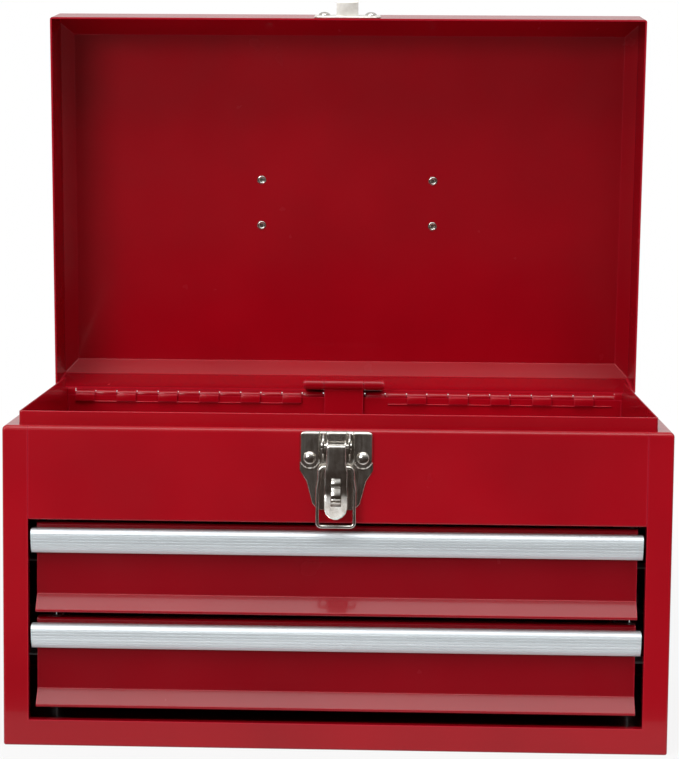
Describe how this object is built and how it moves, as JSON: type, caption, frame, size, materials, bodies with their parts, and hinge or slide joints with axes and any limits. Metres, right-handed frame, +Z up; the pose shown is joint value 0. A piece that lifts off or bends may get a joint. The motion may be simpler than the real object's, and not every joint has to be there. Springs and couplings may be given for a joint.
{
  "type": "portable tool box",
  "caption": "Portable sheet-steel tool box with slide-out drawers, an open top tray, a hinged lid with a folding carry handle, a lid stay and a draw latch.",
  "frame": {"origin": "centre of the base's footprint, on the floor", "axes": "+Z up, front with the latch and drawers towards -Y, +X to the right as seen from the front"},
  "size_m": [0.356, 0.3077, 0.4087],
  "materials": {
    "red_paint": "glossy deep crimson enamel",
    "nickel": "bright nickel plate",
    "zinc_steel": "zinc-plated steel",
    "aluminium": "bright satin extrusion",
    "grip_plastic": "black moulded grip"
  },
  "bodies": {
    "cabinet": {"cabinet_wrap": "red_paint", "front_panel": "red_paint", "tray": "red_paint", "back_panel": "red_paint", "hinge_leaf_cabinet": "zinc_steel", "hinge_pin": "zinc_steel", "stay_guide": "red_paint", "latch_plate": "nickel", "latch_rivets": "nickel", "lever_pin": "nickel", "rail_lower_left": "zinc_steel", "rail_lower_right": "zinc_steel", "rail_upper_left": "zinc_steel", "rail_upper_right": "zinc_steel"},
    "lid": {"lid_shell": "red_paint", "hinge_leaf_lid": "zinc_steel", "stay_bracket": "zinc_steel", "stay_pin": "zinc_steel", "strike": "nickel", "strike_rivets": "nickel", "handle_bracket_left": "nickel", "handle_bracket_right": "nickel", "handle_rivets": "nickel"},
    "stay": {"stay_plate": "zinc_steel"},
    "handle": {"handle_bail": "nickel", "handle_grip": "grip_plastic"},
    "latch_lever": {"latch_lever": "nickel", "catch_pin": "nickel"},
    "latch_bail": {"latch_bail": "nickel"},
    "safety_catch": {"safety_catch": "nickel"},
    "drawer_upper": {"drawer_upper_box": "red_paint", "drawer_upper_front": "red_paint", "drawer_upper_pull": "aluminium", "drawer_upper_rivets": "zinc_steel", "drawer_upper_runner_left": "zinc_steel", "drawer_upper_runner_right": "zinc_steel"},
    "drawer_lower": {"drawer_lower_box": "red_paint", "drawer_lower_front": "red_paint", "drawer_lower_pull": "aluminium", "drawer_lower_rivets": "zinc_steel", "drawer_lower_runner_left": "zinc_steel", "drawer_lower_runner_right": "zinc_steel"}
  },
  "joints": [
    {"name": "lid_hinge", "type": "hinge", "parent": "cabinet", "child": "lid", "pos_m": [0, 0.1152, 0.1695], "axis": [1, 0, 0], "range_deg": [0, 84.27]},
    {"name": "stay_pivot", "type": "hinge", "parent": "lid", "child": "stay", "pos_m": [0, 0.10913, 0.17693], "axis": [1, 0, 0], "range_deg": [-84.3, 0]},
    {"name": "drawer_upper_slide", "type": "slide", "parent": "cabinet", "child": "drawer_upper", "axis": [0, -1, 0], "range_m": [0, 0.17]},
    {"name": "drawer_lower_slide", "type": "slide", "parent": "cabinet", "child": "drawer_lower", "axis": [0, -1, 0], "range_m": [0, 0.17]},
    {"name": "latch_lever_swing", "type": "hinge", "parent": "cabinet", "child": "latch_lever", "pos_m": [0, -0.1178, 0.1647], "axis": [-1, 0, 0], "range_deg": [0, 120]},
    {"name": "latch_bail_swing", "type": "hinge", "parent": "latch_lever", "child": "latch_bail", "pos_m": [0, -0.1186, 0.1535], "axis": [1, 0, 0], "range_deg": [-180, 0]},
    {"name": "safety_catch_press", "type": "hinge", "parent": "latch_lever", "child": "safety_catch", "pos_m": [0, -0.118, 0.1493], "axis": [-1, 0, 0], "range_deg": [0, 12], "stiffness_Nm_per_rad": 0.005, "springref_deg": -17.19},
    {"name": "handle_swing", "type": "hinge", "parent": "lid", "child": "handle", "pos_m": [0, 0.16489, 0.28629], "axis": [1, 0, 0], "range_deg": [0, 160.5]}
  ],
  "couplings": [
    {"joint": "stay_pivot", "follows": "lid_hinge", "ratio": -1}
  ]
}
